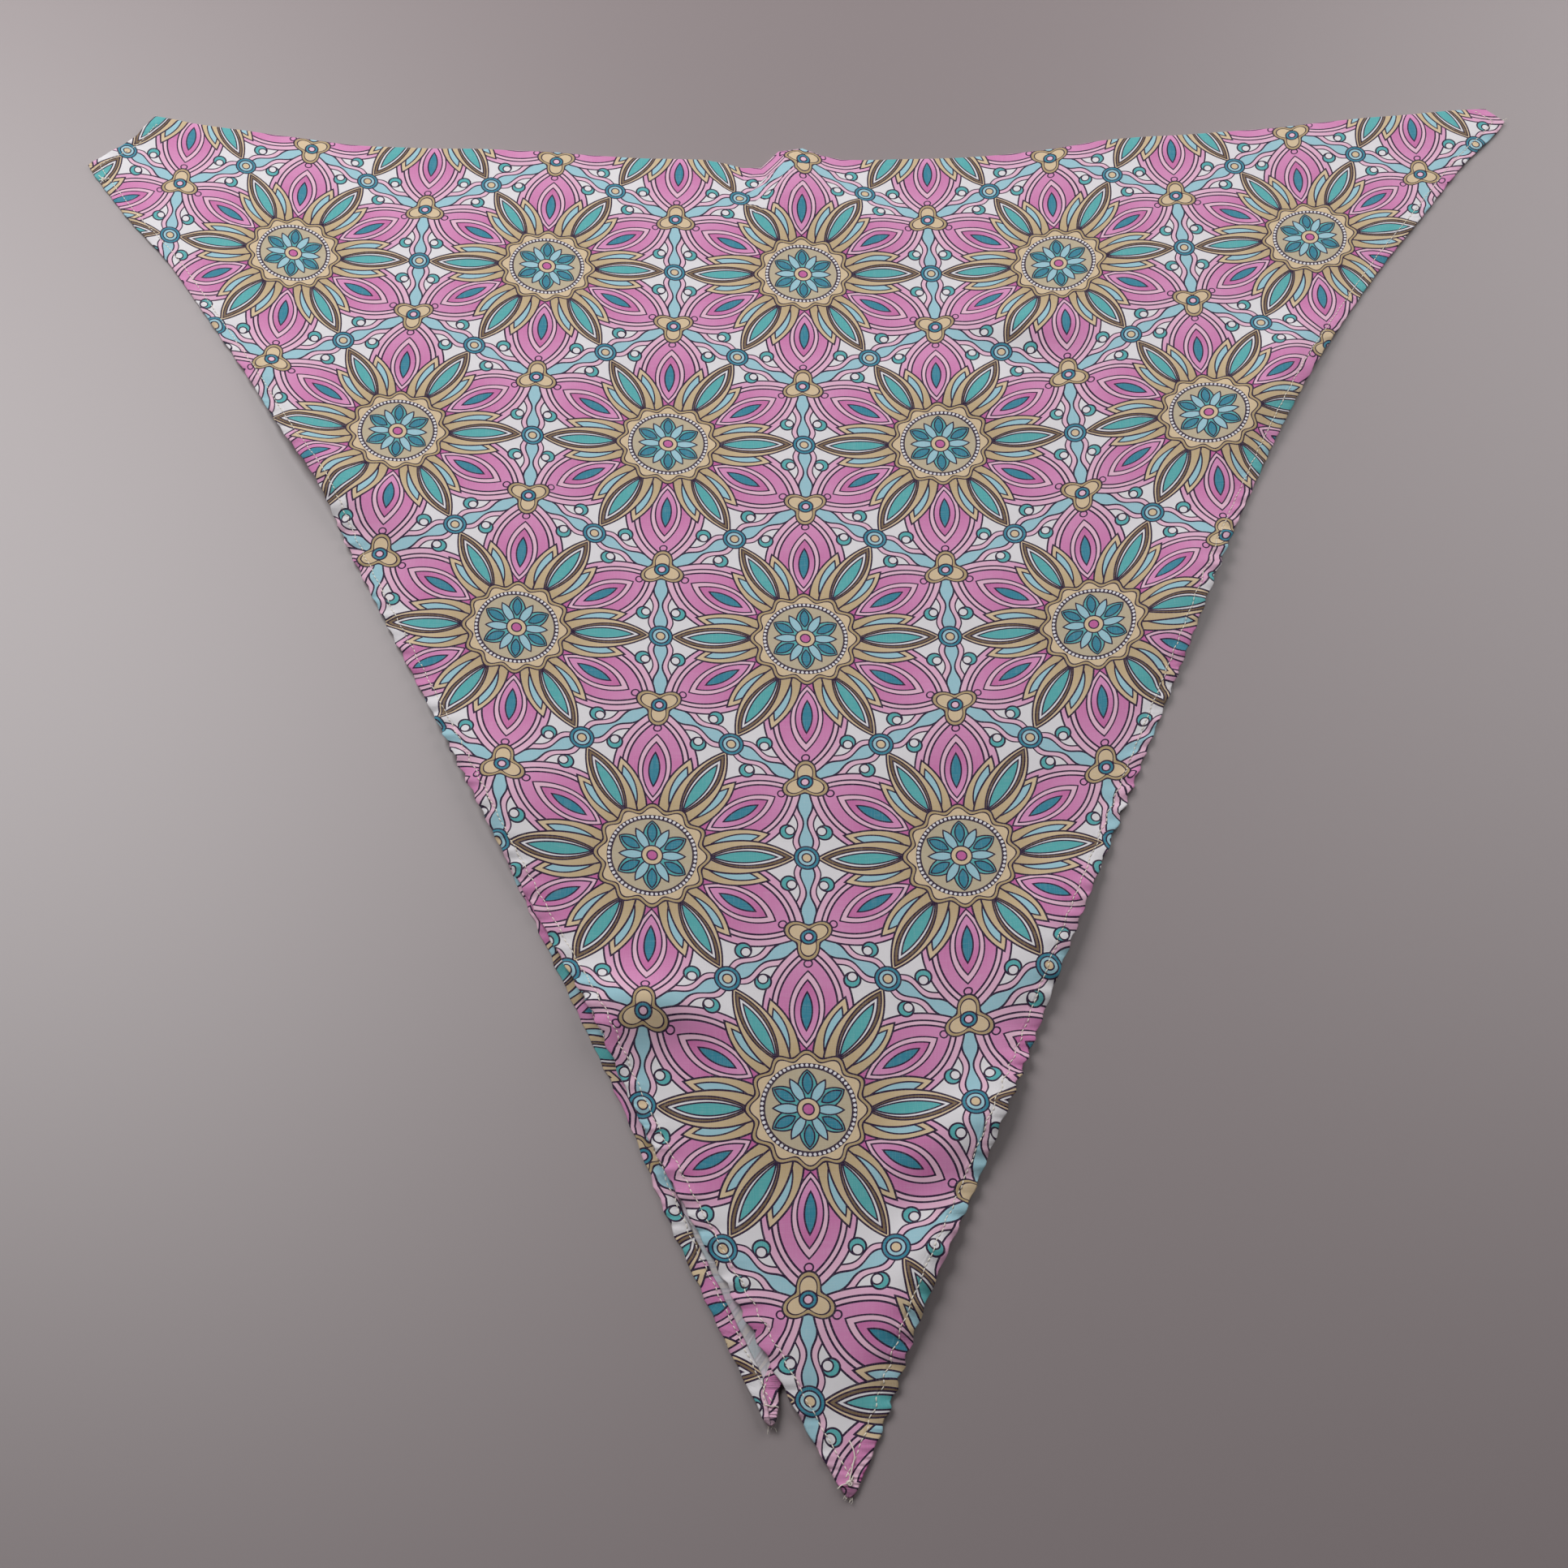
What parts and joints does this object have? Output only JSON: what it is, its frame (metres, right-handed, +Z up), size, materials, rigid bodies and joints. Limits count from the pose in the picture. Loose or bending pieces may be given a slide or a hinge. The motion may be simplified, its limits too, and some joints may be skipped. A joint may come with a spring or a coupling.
{
  "type": "printed cotton headscarf, folded and lying flat",
  "caption": "Thin printed cotton headscarf with turned hems, lying folded in two as a flat triangle of two open layers.",
  "frame": {"origin": "middle of the folded scarf's footprint, on the surface that it lies on", "axes": "+X along the soft fold, from the left corner to the right one; +Y back from the tips to the fold; +Z up"},
  "size_m": [0.8566, 0.8204, 0.013],
  "materials": {
    "printed_cotton": "matt plain-weave cotton with a pink, tan, white and teal all-over print, pale on the wrong side",
    "cotton_thread": "matt twisted cream thread"
  },
  "bodies": {
    "root": {"scarf_cloth": "printed_cotton"}
  },
  "joints": []
}
